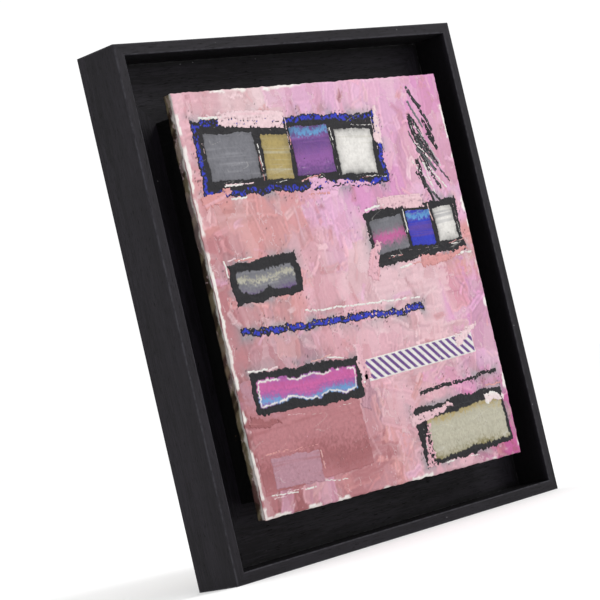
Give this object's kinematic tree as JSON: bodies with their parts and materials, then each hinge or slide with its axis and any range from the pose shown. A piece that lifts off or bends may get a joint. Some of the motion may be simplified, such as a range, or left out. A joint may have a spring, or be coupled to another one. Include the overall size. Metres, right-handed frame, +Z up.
{
  "type": "floating frame",
  "caption": "Black-stained wooden floater frame: a mitred tray that holds a painted board on a hidden cradle, with swinging D-ring hangers and wall bumpers.",
  "frame": {"origin": "middle of the bounding box, on the surface under the bottom rail", "axes": "+X to the viewer's right, +Y from the front to the wall, +Z up"},
  "size_m": [0.32, 0.044, 0.34],
  "materials": {
    "black_wood": "open-pored wood, stained black, dull sheen",
    "painted_board": "thick knife-laid acrylic paint",
    "raw_wood": "planed softwood",
    "yellow_zinc": "yellow zinc plating",
    "nickel": "nickel plating",
    "nail_steel": "plain rolled strip",
    "bumper_rubber": "matt black rubber"
  },
  "bodies": {
    "tray": {"rail_top": "black_wood", "rail_bottom": "black_wood", "rail_left": "black_wood", "rail_right": "black_wood", "corner_nails_top_left": "nail_steel", "corner_nails_top_right": "nail_steel", "corner_nails_bottom_left": "nail_steel", "corner_nails_bottom_right": "nail_steel", "art_panel": "painted_board", "batten_top": "raw_wood", "batten_bottom": "raw_wood", "batten_left": "raw_wood", "batten_right": "raw_wood", "panel_screws": "yellow_zinc", "hanger_strap_left": "nickel", "hanger_strap_right": "nickel", "hanger_screw_left": "nickel", "hanger_screw_right": "nickel", "bumper_left": "bumper_rubber", "bumper_right": "bumper_rubber"},
    "left_ring": {"d_ring_left": "nickel"},
    "right_ring": {"d_ring_right": "nickel"}
  },
  "joints": [
    {"name": "left_ring_swing", "type": "hinge", "parent": "tray", "child": "left_ring", "pos_m": [-0.131, 0.01906, 0.255], "axis": [-1, 0, 0], "range_deg": [0, 179]},
    {"name": "right_ring_swing", "type": "hinge", "parent": "tray", "child": "right_ring", "pos_m": [0.131, 0.01906, 0.255], "axis": [-1, 0, 0], "range_deg": [0, 179]}
  ]
}
